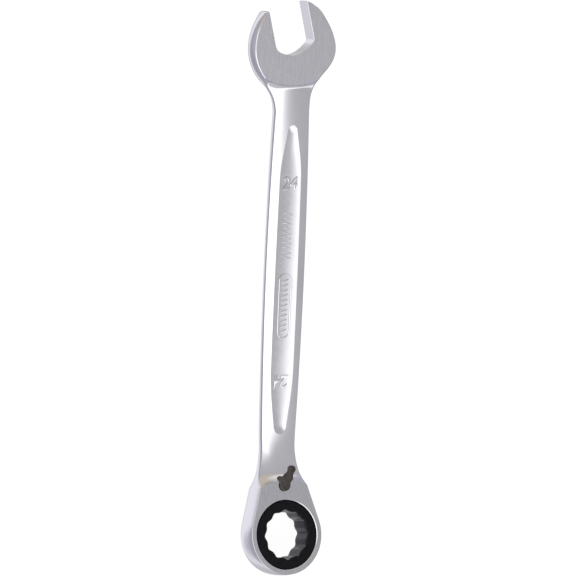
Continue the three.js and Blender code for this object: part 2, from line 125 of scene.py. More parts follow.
# Falls from the flat faces to the handle: lowest height, length and blend with the handle
RING_RUN_OUT = (2.3, 8.5, 1.2)
JAW_RUN_OUT = (2.05, 3.8, 0.5)
THINNEST = 0.3
FACE_ARCS = (((0, 0), HEAD_FACE_RADIUS), (JAW_FACE_CENTRE, JAW_FACE_RADIUS))

# Ratchet gear
TEETH = 72
TOOTH_TIP_RADIUS = 19.7
TOOTH_ROOT_RADIUS = 18.9
HUB_RADIUS = 18.7
GEAR_HALF = 6.5
GEAR_BAND = (-4.15, 5.0)
DRIVE_FLATS = NOMINAL_SIZE + 0.2

# Lever
LEVER_S = 27.2
LEVER_TURN = math.radians(31)
SHANK_RADIUS = 3.1
SEAL_Z = 5.3
LEVER_HOLE_RADIUS = 3.4
PLATE_BOTTOM_Z = 6.97
PLATE_TOP_Z = 8.37


# ---- Frames ----

def head_matrix():
    """The ring head's frame in the row frame, in metres, from the gear's joint."""
    spin = next(j for j in frame["joints"] if j["name"] == "gear_spin")
    z = Vector(spin["axis"]).normalized()
    x = Vector((1, 0, 0))
    y = z.cross(x)
    matrix = Matrix((x, y, z)).transposed().to_4x4()
    matrix.translation = Vector(spin["pos_m"])
    return matrix


HEAD = head_matrix()


def bent(points):
    """Bends straight plan points (x, s, z) up past the neck, still in the head's frame."""
    p = np.asarray(points, float)
    x, s, z = p[:, 0], p[:, 1], p[:, 2]
    bend_length = BEND_RADIUS * BEND_ANGLE
    along = np.clip(s - BEND_START_S, 0, bend_length)
    angle = along / BEND_RADIUS
    beyond = np.maximum(s - BEND_START_S - bend_length, 0)
    before = np.minimum(s, BEND_START_S)
    reach = BEND_RADIUS - z
    y = before + reach * np.sin(angle) + beyond * np.cos(angle)
    height = BEND_RADIUS - reach * np.cos(angle) + beyond * np.sin(angle)
    return np.column_stack([x, y, height])


def to_row(points):
    """Straight plan points in millimetres as row points in metres."""
    p = bent(points) * MM
    turn = np.array(HEAD.to_3x3())
    return p @ turn.T + np.array(HEAD.translation)


def lever_matrix():
    """The lever's frame: its axis as z, its thumb along +Y."""
    return HEAD @ Matrix.Translation((0, LEVER_S * MM, 0)) @ Matrix.Rotation(-LEVER_TURN, 4, "Z")


# ---- Mesh helpers ----

def new_object(name, verts, faces, materials, smooth_angle=30):
    """A mesh object, smooth except at edges sharper than smooth_angle degrees."""
    mesh = bpy.data.meshes.new(name)
    mesh.from_pydata([tuple(v) for v in verts], [], [tuple(f) for f in faces])
    mesh.validate()
    mesh.update()
    obj = bpy.data.objects.new(name, mesh)
    bpy.context.scene.collection.objects.link(obj)
    for material in materials:
        mesh.materials.append(material)
    shade(mesh, smooth_angle)
    return obj


def shade(mesh, angle):
    mesh.polygons.foreach_set("use_smooth", [True] * len(mesh.polygons))
    mesh.set_sharp_from_angle(angle=math.radians(angle))


def face_out(obj):
    """Turns the faces of a closed piece outward."""
    bm = bmesh.new()
    bm.from_mesh(obj.data)
    bmesh.ops.recalc_face_normals(bm, faces=bm.faces)
    bm.to_mesh(obj.data)
    bm.free()


def place(obj, matrix):
    """Carries a piece drawn in millimetres in its own frame into the row frame."""
    obj.data.transform(matrix @ Matrix.Scale(MM, 4))
    obj.data.update()


def loft(name, loops, materials, closed=False, caps=False, smooth_angle=30):
    """A skin through loops of equal count; closed joins the last loop to the first."""
    count = len(loops[0])
    verts = [v for loop in loops for v in loop]
    faces = []
    rounds = len(loops) if closed else len(loops) - 1
    for i in range(rounds):
        a, b = i * count, ((i + 1) % len(loops)) * count
        for j in range(count):
            k = (j + 1) % count
            faces.append((a + j, a + k, b + k, b + j))
    if caps:
        faces.append(tuple(reversed(range(count))))
        faces.append(tuple(range(len(verts) - count, len(verts))))
    obj = new_object(name, verts, faces, materials, smooth_angle)
    face_out(obj)
    shade(obj.data, smooth_angle)
    return obj


def ring_loop(radius, z, count, centre=(0.0, 0.0)):
    """A level loop whose radius is a number or a function of the angle."""
    loop = []
    for i in range(count):
        a = 2 * math.pi * i / count
        r = radius(a) if callable(radius) else radius
        loop.append((centre[0] + r * math.cos(a), centre[1] + r * math.sin(a), z))
    return loop


def turned(name, profile, materials, count=96, centre=(0.0, 0.0), smooth_angle=30):
    """A solid of revolution; a profile that starts and ends at r = 0 is closed by fans."""
    tiny = 0.0005
    loops = [ring_loop(max(r, tiny), z, count, centre) for r, z in profile]
    ends_on_axis = profile[0][0] == 0 and profile[-1][0] == 0
    return loft(name, loops, materials, closed=not ends_on_axis, caps=ends_on_axis,
                smooth_angle=smooth_angle)


def rounded_profile(corners, radius, steps=3):
    """An (r, z) outline with each inner corner rounded by up to radius."""
    out = []
    n = len(corners)
    for i, (r, z) in enumerate(corners):
        if i in (0, n - 1) and corners[0][0] == 0:
            out.append((r, z))
            continue
        p = np.array((r, z), float)
        a = np.array(corners[i - 1], float) - p
        b = np.array(corners[(i + 1) % n], float) - p
        la, lb = np.linalg.norm(a), np.linalg.norm(b)
        cut = min(radius, 0.45 * la, 0.45 * lb)
        start, end = p + a / la * cut, p + b / lb * cut
        for k in range(steps + 1):
            t = k / steps
            q = (1 - t) ** 2 * start + 2 * t * (1 - t) * p + t * t * end
            out.append((float(q[0]), float(q[1])))
    return out


def offset_loop(points, distance):
    """A closed plan outline moved outward (counterclockwise outlines) by distance."""
    p = np.asarray(points, float)
    d = np.roll(p, -1, 0) - np.roll(p, 1, 0)
    n = np.column_stack([d[:, 1], -d[:, 0]])
    n /= np.linalg.norm(n, axis=1)[:, None]
    return p + n * distance


def prism(name, outline, layers, materials, smooth_angle=30):
    """A plan outline carried through (offset, z) layers and capped."""
    loops = []
    for distance, z in layers:
        loop = offset_loop(outline, distance)
        loops.append([(x, y, z) for x, y in loop])
    return loft(name, loops, materials, caps=True, smooth_angle=smooth_angle)


def arc(cx, cy, radius, start, end, step=1.0):
    count = max(2, int(abs(end - start) * radius / step))
    return [(cx + radius * math.cos(start + (end - start) * i / count),
             cy + radius * math.sin(start + (end - start) * i / count)) for i in range(count + 1)]


def bezier(points, count):
    out = []
    degree = len(points) - 1
    for i in range(count + 1):
        t = i / count
        weights = [math.comb(degree, k) * t ** k * (1 - t) ** (degree - k)
                   for k in range(degree + 1)]
        out.append(tuple(sum(w * p[axis] for w, p in zip(weights, points)) for axis in (0, 1)))
    return out


def chain(*parts):
    """Joins point runs, dropping repeated points."""
    out = []
    for part in parts:
        for p in part:
            if not out or math.dist(out[-1], p) > 0.02:
                out.append(p)
    if math.dist(out[0], out[-1]) < 0.02:
        out.pop()
    return out


def cut(obj, cutter):
    """Cuts one closed mesh from another and removes the cutter."""
    modifier = obj.modifiers.new("cut", "BOOLEAN")
    modifier.operation = "DIFFERENCE"
    modifier.solver = "EXACT"
    modifier.object = cutter
    graph = bpy.context.evaluated_depsgraph_get()
    mesh = bpy.data.meshes.new_from_object(obj.evaluated_get(graph))
    obj.modifiers.clear()
    obj.data = mesh
    bpy.data.objects.remove(cutter)


# ---- Materials ----

class Shader:
    """A Principled material whose colour, roughness and bump each follow a noise."""

    def __init__(self, name, colour, metallic, roughness):
        self.material = bpy.data.materials.new(name)
        self.material.use_nodes = True
        self.tree = self.material.node_tree
        self.bsdf = self.tree.nodes["Principled BSDF"]
        self.bsdf.inputs["Base Color"].default_value = (*colour, 1)
        self.bsdf.inputs["Metallic"].default_value = metallic
        self.bsdf.inputs["Roughness"].default_value = roughness
        self.coords = self.tree.nodes.new("ShaderNodeTexCoord").outputs["Object"]

    def noise(self, scale, detail, stretch=(1, 1, 1)):
        mapping = self.tree.nodes.new("ShaderNodeMapping")
        mapping.inputs["Scale"].default_value = stretch
        self.tree.links.new(self.coords, mapping.inputs["Vector"])
        noise = self.tree.nodes.new("ShaderNodeTexNoise")
        noise.inputs["Scale"].default_value = scale
        noise.inputs["Detail"].default_value = detail
        self.tree.links.new(mapping.outputs["Vector"], noise.inputs["Vector"])
        return noise.outputs["Fac"]

    def ranged(self, value, low, high):
        """The middle of a noise's values, spread from low to high."""
        ramp = self.tree.nodes.new("ShaderNodeMapRange")
        ramp.inputs["From Min"].default_value = 0.3
        ramp.inputs["From Max"].default_value = 0.7
        ramp.inputs["To Min"].default_value = low
        ramp.inputs["To Max"].default_value = high
        self.tree.links.new(value, ramp.inputs["Value"])
        return ramp.outputs["Result"]

    def rough_by(self, value, low, high):
        self.tree.links.new(self.ranged(value, low, high), self.bsdf.inputs["Roughness"])

    def colour_by(self, value, dark, light):
        mix = self.tree.nodes.new("ShaderNodeMix")
        mix.data_type = "RGBA"
        mix.inputs["A"].default_value = (*dark, 1)
        mix.inputs["B"].default_value = (*light, 1)
        self.tree.links.new(self.ranged(value, 0, 1), mix.inputs["Factor"])
        self.tree.links.new(mix.outputs["Result"], self.bsdf.inputs["Base Color"])

    def bump(self, value, strength, distance):
        bump = self.tree.nodes.new("ShaderNodeBump")
        bump.inputs["Strength"].default_value = strength
        bump.inputs["Distance"].default_value = distance
        self.tree.links.new(value, bump.inputs["Height"])
        self.tree.links.new(bump.outputs["Normal"], self.bsdf.inputs["Normal"])


def polished_chrome():
    s = Shader("polished_chrome", (0.57, 0.568, 0.59), 1.0, 0.17)
    s.colour_by(s.noise(35, 3), (0.55, 0.548, 0.57), (0.59, 0.588, 0.61))
    s.rough_by(s.noise(60, 5, (1, 0.25, 1)), 0.14, 0.22)
    s.bump(s.noise(3500, 3, (1, 0.06, 1)), 0.03, 0.00002)
    return s.material


def ground_chrome():
    s = Shader("ground_chrome", (0.465, 0.465, 0.488), 1.0, 0.27)
    s.colour_by(s.noise(300, 3), (0.455, 0.455, 0.477), (0.475, 0.475, 0.499))
    s.rough_by(s.noise(900, 3, (1, 0.1, 1)), 0.24, 0.3)
    s.bump(s.noise(2600, 2, (1, 0.3, 1)), 0.003, 0.00002)
    return s.material


def panel_chrome():
    s = Shader("panel_chrome", (0.57, 0.568, 0.59), 1.0, 0.2)
    s.colour_by(s.noise(80, 4), (0.55, 0.548, 0.57), (0.59, 0.588, 0.61))
    s.rough_by(s.noise(500, 4), 0.17, 0.25)
    s.bump(s.noise(900, 3), 0.08, 0.00004)
    return s.material


def black_phosphate():
    s = Shader("black_phosphate", (0.006, 0.006, 0.007), 0.0, 0.5)
    s.bsdf.inputs["Specular IOR Level"].default_value = 0.06
    s.colour_by(s.noise(700, 5), (0.003, 0.003, 0.004), (0.006, 0.006, 0.007))
    s.rough_by(s.noise(1500, 4), 0.42, 0.6)
    s.bump(s.noise(5000, 4), 0.2, 0.00002)
    return s.material


def bore_phosphate():
    s = Shader("bore_phosphate", (0.018, 0.016, 0.018), 0.9, 0.24)
    s.colour_by(s.noise(300, 5, (1, 1, 4)), (0.011, 0.0095, 0.011), (0.026, 0.023, 0.026))
    s.rough_by(s.noise(900, 4), 0.18, 0.32)
    s.bump(s.noise(2600, 3, (1, 1, 0.15)), 0.15, 0.00003)
    return s.material


def gunmetal():
    s = Shader("gunmetal", (0.06, 0.053, 0.048), 0.85, 0.42)
    s.bsdf.inputs["Specular IOR Level"].default_value = 0.2
    s.colour_by(s.noise(420, 5), (0.045, 0.039, 0.035), (0.08, 0.071, 0.065))
    s.rough_by(s.noise(1100, 4), 0.34, 0.5)
    s.bump(s.noise(2600, 4), 0.2, 0.00004)
    return s.material


def spring_steel():
    s = Shader("spring_steel", (0.4, 0.41, 0.42), 1.0, 0.33)
    s.colour_by(s.noise(500, 4), (0.32, 0.325, 0.335), (0.47, 0.475, 0.485))
    s.rough_by(s.noise(1200, 4), 0.25, 0.42)
    s.bump(s.noise(3000, 3), 0.1, 0.00002)
    return s.material


def painted_shade_chrome():
    """Painted shade: a darker chrome for the steep sides of the raised marks, drawing the dark outlines
    that shade lays round them.
    """
    s = Shader("painted_shade_chrome", (0.24, 0.24, 0.255), 1.0, 0.35)
    s.colour_by(s.noise(900, 3), (0.2, 0.2, 0.215), (0.28, 0.28, 0.295))
    s.rough_by(s.noise(1500, 3), 0.3, 0.42)
    s.bump(s.noise(2600, 3), 0.08, 0.00002)
    return s.material


def tool_steel():
    s = Shader("tool_steel", (0.5, 0.51, 0.52), 1.0, 0.28)
    s.colour_by(s.noise(600, 4), (0.42, 0.43, 0.44), (0.56, 0.57, 0.58))
    s.rough_by(s.noise(1600, 3, (1, 1, 6)), 0.2, 0.36)
    s.bump(s.noise(4000, 3, (1, 1, 8)), 0.12, 0.00002)
    return s.material


def rubber():
    s = Shader("rubber", (0.018, 0.018, 0.018), 0.0, 0.7)
    s.colour_by(s.noise(900, 4), (0.012, 0.012, 0.012), (0.028, 0.027, 0.026))
    s.rough_by(s.noise(1300, 4), 0.6, 0.8)
    s.bump(s.noise(3500, 4), 0.2, 0.00003)
    return s.material


CHROME = polished_chrome()
GROUND = ground_chrome()
PANEL = panel_chrome()
PAINTED_SHADE = painted_shade_chrome()
BLACK = black_phosphate()
BORE = bore_phosphate()
GUNMETAL = gunmetal()
SPRING = spring_steel()
STEEL = tool_steel()
RUBBER = rubber()


# ---- Forged body: its surface as heights over the plan ----

def ease(t):
    t = np.clip(t, 0, 1)
    return t * t * (3 - 2 * t)


def larger(a, b, blend):
    """The larger of two heights, with a soft valley where they meet."""
    h = np.maximum(blend - np.abs(a - b), 0) / blend
    return np.maximum(a, b) + h * h * blend / 4


def crown(x):
    """Half the handle's thickness across its width."""
    return CROWN_HALF - CROWN_DROP * (x / HANDLE_HALF_WIDTH) ** 2


def panel_half_width(s):
    """Half the width of the handle's sunk panel at s, 0 past its ends."""
    s = np.asarray(s, float)
    width = PANEL_HALF_WIDTH - 0.35 * ((s - PANEL_WIDEST_S) / 60) ** 2
    for past, end in ((s - PANEL_START_S, PANEL_START), (PANEL_END_S - s, PANEL_END)):
        radius, base, spread = end
        past = np.maximum(past, 0)
        width = -larger(-width, -(base + spread * past), PANEL_END_BLEND)
        cap = np.sqrt(np.maximum(radius ** 2 - (radius - past) ** 2, 0))
        width = np.where(past < radius, np.minimum(width, cap), width)
    return width


def handle_height(x, s):
    """The handle's crown, and inside the panel its rim step and hollow floor."""
    width = panel_half_width(s)
    inside = (np.abs(x) < width) & (width > 0.05)
    safe = np.where(inside, width, 1)
    depth = PANEL_DEPTH * ease(width / 5.5)
    slope = (panel_half_width(np.add(s, 0.05)) - panel_half_width(np.subtract(s, 0.05))) / 0.1
    from_rim = (safe - np.abs(x)) / np.hypot(1, slope)
    step = RIM_FALL * ease(width / 2) * np.clip(from_rim / RIM_WIDTH, 0, 1)
    channel = crown(safe) - depth * (1 - (x / safe) ** 2) - step
    return np.where(inside, channel, crown(x))


def run_out(distance, top, floor, length):
    """The concave fall from a flat face's edge, by the distance past the edge."""
    t = np.clip(distance / length, 0, 1)
    fall = floor + (top - floor) * (1 - t) ** 2.3
    return np.where(distance > length, floor - 0.12 * (distance - length), fall)


def end_height(handle, past_edge, face_height, floor, length, blend):
    """One end of the forging: its flat face, then the run-out blended with the handle."""
    fall = larger(handle, run_out(past_edge, face_height, floor, length), blend)
    return np.where(past_edge <= 0, face_height, np.maximum(fall, THINNEST))


def surface_height(x, s):
    """Half the forging's thickness at a plan point."""
    x, s = np.asarray(x, float), np.asarray(s, float)
    handle = handle_height(x, s)
    ring_out = np.hypot(x, s) - HEAD_FACE_RADIUS
    jaw_out = np.hypot(x - JAW_FACE_CENTRE[0], s - JAW_FACE_CENTRE[1]) - JAW_FACE_RADIUS
    ring = end_height(handle, ring_out, HEAD_HALF, *RING_RUN_OUT)
    jaw = end_height(handle, jaw_out, JAW_HALF, *JAW_RUN_OUT)
    return np.where(s < HANDLE_MIDDLE_S, ring, jaw)


def handle_side(s):
    """Half the handle's width along its length."""
    return HANDLE_HALF_WIDTH - HANDLE_BOW * ((s - HANDLE_MIDDLE_S) / HANDLE_HALF_SPAN) ** 2


def outline():
    """The forging's outline at mid thickness, counterclockwise, before the jaw gap is cut."""
    tangent_x = HEAD_RADIUS * math.cos(HEAD_TAPER)
    tangent_s = HEAD_RADIUS * math.sin(HEAD_TAPER)
    side_x = tangent_x - (HEAD_SIDE_END_S - tangent_s) * math.tan(HEAD_TAPER)
    side_end = (side_x, HEAD_SIDE_END_S)
    turn_s = HEAD_SIDE_END_S + (side_x - RING_NECK[0]) / math.tan(HEAD_TAPER)
    ring = arc(0, 0, HEAD_RADIUS, math.pi - HEAD_TAPER, 2 * math.pi + HEAD_TAPER, 0.8)
    side = bezier([(tangent_x, tangent_s), side_end], 32)
    blend = bezier([side_end, (RING_NECK[0], turn_s), RING_NECK], 30)
    grip = [(handle_side(s), s) for s in np.linspace(RING_NECK[1] + 0.6, JAW_NECK[1] - 0.6, 90)]
    left_neck = (-JAW_NECK[0], JAW_NECK[1])
    right = chain(bezier([JAW_NECK, (10.6, 243), (12.8, 247.8), (17.2, 253.4)], 30),
                  bezier([(17.2, 253.4), (21.4, 257.8), (25.7, 262), (25.4, 268.9)], 26),
                  bezier([(25.4, 268.9), (25.2, 276.3), (18.2, 288), (9.6, 292.1)], 38),
                  bezier([(9.6, 292.1), (7.3, 293.7), (5.2, 294)], 7),
                  bezier([(5.2, 294), (-7, 295), (-18.2, 287.6)], 12),
                  bezier([(-18.2, 287.6), (-20.4, 288), (-21.2, 286.3)], 7),
                  bezier([(-21.2, 286.3), (-24.6, 282), (-27.3, 275), (-27.4, 268.5)], 28),
                  bezier([(-27.4, 268.5), (-27.5, 261), (-24.4, 254.6), (-19.45, 249.7)], 28),
                  bezier([(-19.45, 249.7), (-15.8, 246), (-11, 241.5), left_neck], 28))
    left_grip = [(-x, s) for x, s in reversed(grip)]
    left_blend = [(-x, s) for x, s in reversed(blend)]
    left_side = [(-x, s) for x, s in reversed(side)]
    return chain(ring, side, blend, grip, right, left_grip, left_blend, left_side)


def by_region(s, head, handle, jaw):
    """A measure that eases from its value at the head to the handle's and then the jaw's."""
    to_handle = ease((s - 26) / 22)
    to_jaw = ease((s - 236) / 16)
    return head * (1 - to_handle) + handle * to_handle * (1 - to_jaw) + jaw * to_jaw


def edge_shape(s):
    """The side wall's bulge, its sharpness and its edge chamfer at each s."""
    to_tip = ease((s - 283) / 8)
    bulge = by_region(s, 0.36, 0.27, 1.4) - 1.1 * to_tip
    power = by_region(s, 3.0, 2.4, 2.4)
    chamfer = by_region(s, 0.14, 0.05, 0.2)
    return bulge, power, chamfer


def inside(points, polygon):
    """Which plan points lie inside a closed polygon."""
    x, y = points[:, 0], points[:, 1]
    result = np.zeros(len(points), bool)
    for (ax, ay), (bx, by) in zip(polygon, np.roll(polygon, -1, 0)):
        if ay == by:
            continue
        crosses = (ay > y) != (by > y)
        result ^= crosses & (x < (bx - ax) * (y - ay) / (by - ay) + ax)
    return result


def far_from(points, curve, distance):
    """Which points keep a distance from a polyline's points."""
    keep = np.ones(len(points), bool)
    for q in curve:
        keep &= np.hypot(points[:, 0] - q[0], points[:, 1] - q[1]) > distance
    return keep


def with_crossings(loop, centre, radius):
    """Adds the points where an outline crosses a circle."""
    out = []
    n = len(loop)
    for i in range(n):
        a, b = np.array(loop[i]), np.array(loop[(i + 1) % n])
        out.append(tuple(a))
        ra, rb = math.dist(a, centre) - radius, math.dist(b, centre) - radius
        if ra * rb < 0:
            out.append(tuple(a + (b - a) * ra / (ra - rb)))
    return out


def circle_run(centre, radius, start, end, polygon, spacing):
    """The points of an arc that lie inside a polygon."""
    points = np.array(arc(centre[0], centre[1], radius, start, end, spacing))
    return points[inside(points, polygon)]


def face_edge(centre, radius, start, end, top_loop):
    """The edge of a flat face where it meets the handle, from outline to outline."""
    run = circle_run(centre, radius, start, end, np.array(top_loop), 0.6)
    ends = [p for p in top_loop if abs(math.dist(p, centre) - radius) < 0.03]
    first = min(ends, key=lambda p: math.dist(p, run[0]))
    last = min(ends, key=lambda p: math.dist(p, run[-1]))
    inner = [tuple(p) for p in run if math.dist(p, first) > 0.3 and math.dist(p, last) > 0.3]
    return [first] + inner + [last]


def panel_rim():
    """The panel's edge, with its points closer together toward both ends."""
    half = np.pi * np.arange(1, 180) / 180
    middle, reach = (PANEL_START_S + PANEL_END_S) / 2, (PANEL_END_S - PANEL_START_S) / 2
    stations = middle - reach * np.cos(half)
    stations = np.unique(np.round(np.concatenate([stations, np.arange(62, 224, 2.0)]), 3))
    widths = panel_half_width(stations)
    return chain([(0.0, PANEL_START_S)], [(w, s) for w, s in zip(widths, stations)],
                 [(0.0, PANEL_END_S)], [(-w, s) for w, s in zip(widths[::-1], stations[::-1])])


def rim_foot(rim):
    """The foot of the panel's rim step, as one line for each side."""
    foot = [tuple(p) for p in offset_loop(rim, -RIM_WIDTH)]
    foot = [p for p in foot if PANEL_START_S + 1 < p[1] < PANEL_END_S - 1]
    return [p for p in foot if p[0] > 0], [p for p in foot if p[0] < 0]


def filling_points(top_loop, rim):
    """Points between the feature lines: a grid on the handle and rings on the run-outs."""
    polygon = np.array(top_loop)
    filling = [(x, s) for x in np.arange(-11, 11.5, 1.0) for s in np.arange(50, 236, 2.0)]
    near = (0.2, 0.45, 0.75, 1.1, 1.5, 2, 2.5, 3.1, 3.8, 4.5, 5.2, 6)
    for d in near + (6.8, 7.7, 8.7, 10, 11.5, 13, 15, 17):
        run = circle_run((0, 0), HEAD_FACE_RADIUS + d, 0.9, 2.3, polygon, 0.8)
        filling += [tuple(p) for p in run]
    for d in near + (7, 8.2, 9.5, 11, 13):
        run = circle_run(JAW_FACE_CENTRE, JAW_FACE_RADIUS + d, math.pi + 0.8, 2 * math.pi - 0.8,
                         polygon, 0.8)
        filling += [tuple(p) for p in run]
    filling = np.array(filling)
    filling = filling[inside(filling, polygon)]
    filling = filling[far_from(filling, top_loop, 0.35)]
    return filling[far_from(filling, rim, 0.75)]


def meet_face_edges(top):
    """Moves the upper outline's nearest points onto the arcs of the two faces' edges."""
    for centre, radius in FACE_ARCS:
        out = np.hypot(top[:, 0] - centre[0], top[:, 1] - centre[1])
        near = np.where(np.abs(out - radius) < 0.35)[0]
        for side in (-1, 1):
            group = [i for i in near if np.sign(top[i, 0] - centre[0]) == side]
            if group:
                i = min(group, key=lambda k: abs(out[k] - radius))
                top[i] = np.array(centre) + (top[i] - np.array(centre)) * radius / out[i]


def plan_lines(top_loop, features):
    """All line points once each, and the edges between them; the outline comes first."""
    points = list(top_loop)
    edges = [(i, (i + 1) % len(points)) for i in range(len(points))]
    where = {tuple(np.round(p, 6)): i for i, p in enumerate(points)}
    for line in features:
        ids = []
        for p in line:
            key = tuple(np.round(p, 6))
            if key not in where:
                where[key] = len(points)
                points.append(tuple(p))
            ids.append(where[key])
        edges += [(a, b) for a, b in zip(ids, ids[1:]) if a != b]
    return points, edges


def triangulated(points, edges, top):
    """The plan inside the outline: its points, its triangles and the outline's point numbers."""
    out_points, _, out_faces, origins, _, _ = delaunay_2d_cdt(
        [Vector(p) for p in points], edges, [], 0, 1e-5)
    flat = np.array([tuple(p) for p in out_points])
    number = {i: new for new, old in enumerate(origins) for i in old if i < len(top)}
    faces = np.array(out_faces)
    faces = faces[inside(flat[faces].mean(axis=1), top)]
    used = np.unique(faces)
    renumber = -np.ones(len(flat), int)
    renumber[used] = np.arange(len(used))
    flat = flat[used]
    faces = renumber[faces]
    signed = np.cross(flat[faces[:, 1]] - flat[faces[:, 0]], flat[faces[:, 2]] - flat[faces[:, 0]])
    faces = np.where((signed < 0)[:, None], faces[:, ::-1], faces)
    return flat, faces, [renumber[number[i]] for i in range(len(top))]


def plan_mesh(top):
    """Triangulates the plan along the faces' edges and the panel's rim."""
    top_loop = [tuple(p) for p in top]
    rim = panel_rim()
    features = [face_edge((0, 0), HEAD_FACE_RADIUS, 0.2, math.pi - 0.2, top_loop),
                face_edge(JAW_FACE_CENTRE, JAW_FACE_RADIUS, math.pi + 0.6, 2 * math.pi - 0.6, top_loop),
                rim + [rim[0]], *rim_foot(rim)]
    points, edges = plan_lines(top_loop, features)
    points += [tuple(p) for p in filling_points(top_loop, rim)]
    return triangulated(points, edges, top)


def side_rows(middle, normal, top):
    """The side wall's rows of points, from the upper edge down to the lower one."""
    bulge, power, chamfer = edge_shape(middle[:, 1])
    body = np.maximum(surface_height(top[:, 0], top[:, 1]) - chamfer, 0.1)
    between = 0.97 * np.cos(np.linspace(0.25, math.pi - 0.25, 13))
    rows = []
    for level in np.concatenate([[1.0], between, [-1.0]]):
        offset = -bulge * np.abs(level) ** power
        rows.append(np.column_stack([middle + normal * offset[:, None], body * level]))
    return rows


def forged_shell():
    """The whole forging before its holes, in straight plan coordinates."""
    loop = with_crossings(outline(), (0, 0), HEAD_FACE_RADIUS + 0.3)
    loop = with_crossings(loop, JAW_FACE_CENTRE, JAW_FACE_RADIUS + 0.5)
    middle = np.array(loop)
    normal = offset_loop(middle, 1.0) - middle
    bulge, _, chamfer = edge_shape(middle[:, 1])
    top = middle - normal * (bulge + chamfer)[:, None]
    meet_face_edges(top)
    flat, triangles, rim = plan_mesh(top)
    height = surface_height(flat[:, 0], flat[:, 1])
    walls = side_rows(middle, normal, top)
    verts = [np.column_stack([flat, height]), np.column_stack([flat, -height])] + walls
    size, count = len(flat), len(top)
    faces = [tuple(f) for f in triangles] + [tuple(f[::-1] + size) for f in triangles]
    rows = [rim]
    rows += [[2 * size + k * count + i for i in range(count)] for k in range(len(walls))]
    rows.append([i + size for i in rim])
    for a, b in zip(rows, rows[1:]):
        faces += [(a[i], b[i], b[(i + 1) % count], a[(i + 1) % count]) for i in range(count)]
    obj = new_object("forged_body", np.vstack(verts), faces, [CHROME, GROUND, PANEL])
    face_out(obj)
    return obj


def gap_cutter():
    """The space between the jaws, with its edges eased at both faces."""
    half = JAW_GAP / 2
    turn = Matrix.Rotation(JAW_TURN, 2)
    shape = chain([(half, 44), (half, 30), (half, 18), (half, 6.6)],
                  bezier([(half, 6.6), (half, 5), (9.8, 3.6)], 10),
                  bezier([(9.8, 3.6), (0, -2.6), (-9.2, 3.2)], 28),
                  bezier([(-9.2, 3.2), (-half, 4.9), (-half, 8)], 14),
                  [(-half, 18), (-half, 30), (-half, 44)])
    shape = [tuple(turn @ Vector(p) + Vector((0, JAW_BASE_S))) for p in reversed(shape)]
    ease_edge = 0.16
    layers = [(ease_edge, -8), (ease_edge, -JAW_HALF), (0, -JAW_HALF + ease_edge),
              (0, JAW_HALF - ease_edge), (ease_edge, JAW_HALF), (ease_edge, 8)]
    return prism("gap_cutter", shape, layers, [])


def bore_cutter():
    """The gear's bore, from the lip's chamfer to the snap ring's groove and the open back."""
    far = 9
    profile = [(0, -far), (BORE_RADIUS + 0.4, -far), (BORE_RADIUS + 0.4, -HEAD_HALF),
               (BORE_RADIUS, -HEAD_HALF + 0.4), (BORE_RADIUS, GROOVE_BOTTOM_Z),
               (GROOVE_RADIUS, GROOVE_BOTTOM_Z), (GROOVE_RADIUS, GROOVE_TOP_Z),
               (BORE_RADIUS, GROOVE_TOP_Z), (BORE_RADIUS, LIP_BOTTOM_Z), (LIP_RADIUS, LIP_BOTTOM_Z),
               (LIP_RADIUS, HEAD_HALF - 0.35), (LIP_RADIUS + 0.35, HEAD_HALF),
               (LIP_RADIUS + 0.35, far), (0, far)]
    return turned("bore_cutter", profile, [], 180)


def lever_hole_cutter():
    """The lever's stepped hole, wider where the pawl and the clip sit."""
    profile = [(0, -9), (3.75, -9), (3.75, -HEAD_HALF), (3.6, -HEAD_HALF + 0.15), (3.6, -4.9),
               (2.5, -4.9), (2.5, -3.9), (SHANK_RADIUS + 1.4, -3.9), (SHANK_RADIUS + 1.4, 4),
               (LEVER_HOLE_RADIUS, 4), (LEVER_HOLE_RADIUS, HEAD_HALF - 0.1),
               (LEVER_HOLE_RADIUS + 0.1, HEAD_HALF), (LEVER_HOLE_RADIUS + 0.1, 9), (0, 9)]
    return turned("lever_hole_cutter", profile, [], 72, (0, LEVER_S))


def pocket_cutter():
    """The pawl's pocket, a curved slot between the bore and the lever's hole."""
    spread = math.radians(25)
    up = math.pi / 2
    shape = chain(arc(0, 0, 24.3, up - spread, up + spread, 0.7),
                  list(reversed(arc(0, 0, 18, up - spread, up + spread, 0.7))))
    return prism("pocket_cutter", shape, [(0, -POCKET_HALF), (0, POCKET_HALF)], [])


def crease(p):
    """Which line of sharp edges a straight plan vertex lies on, or none."""
    x, s, z = p
    if abs(abs(z) - HEAD_HALF) < 0.01 and s > 20 and abs(math.hypot(x, s) - HEAD_FACE_RADIUS) < 0.02:
        return "ring face"
    jaw = math.hypot(x - JAW_FACE_CENTRE[0], s - JAW_FACE_CENTRE[1])
    if abs(abs(z) - JAW_HALF) < 0.01 and s < 262 and abs(jaw - JAW_FACE_RADIUS) < 0.02:
        return "jaw face"
    if PANEL_START_S - 0.1 <= s <= PANEL_END_S + 0.1:
        width = float(panel_half_width(s))
        if abs(abs(x) - width) < 0.004 and abs(abs(z) - crown(x)) < 0.01:
            return "panel rim"
    return None


def finish_of(centre, normal):
    """The finish of a face: 0 polished, 1 ground flat, 2 panel."""
    x, s, z = centre
    level = abs(normal[2]) > 0.999
    if level and abs(abs(z) - HEAD_HALF) < 0.02 and s < 40:
        return 1
    if level and abs(abs(z) - JAW_HALF) < 0.02 and s > 240:
        return 1
    if abs(x) < float(panel_half_width(s)) and abs(z) < crown(x) - 0.001 and abs(z) > 1.5:
        if PANEL_START_S < s < PANEL_END_S:
            return 2
    return 0


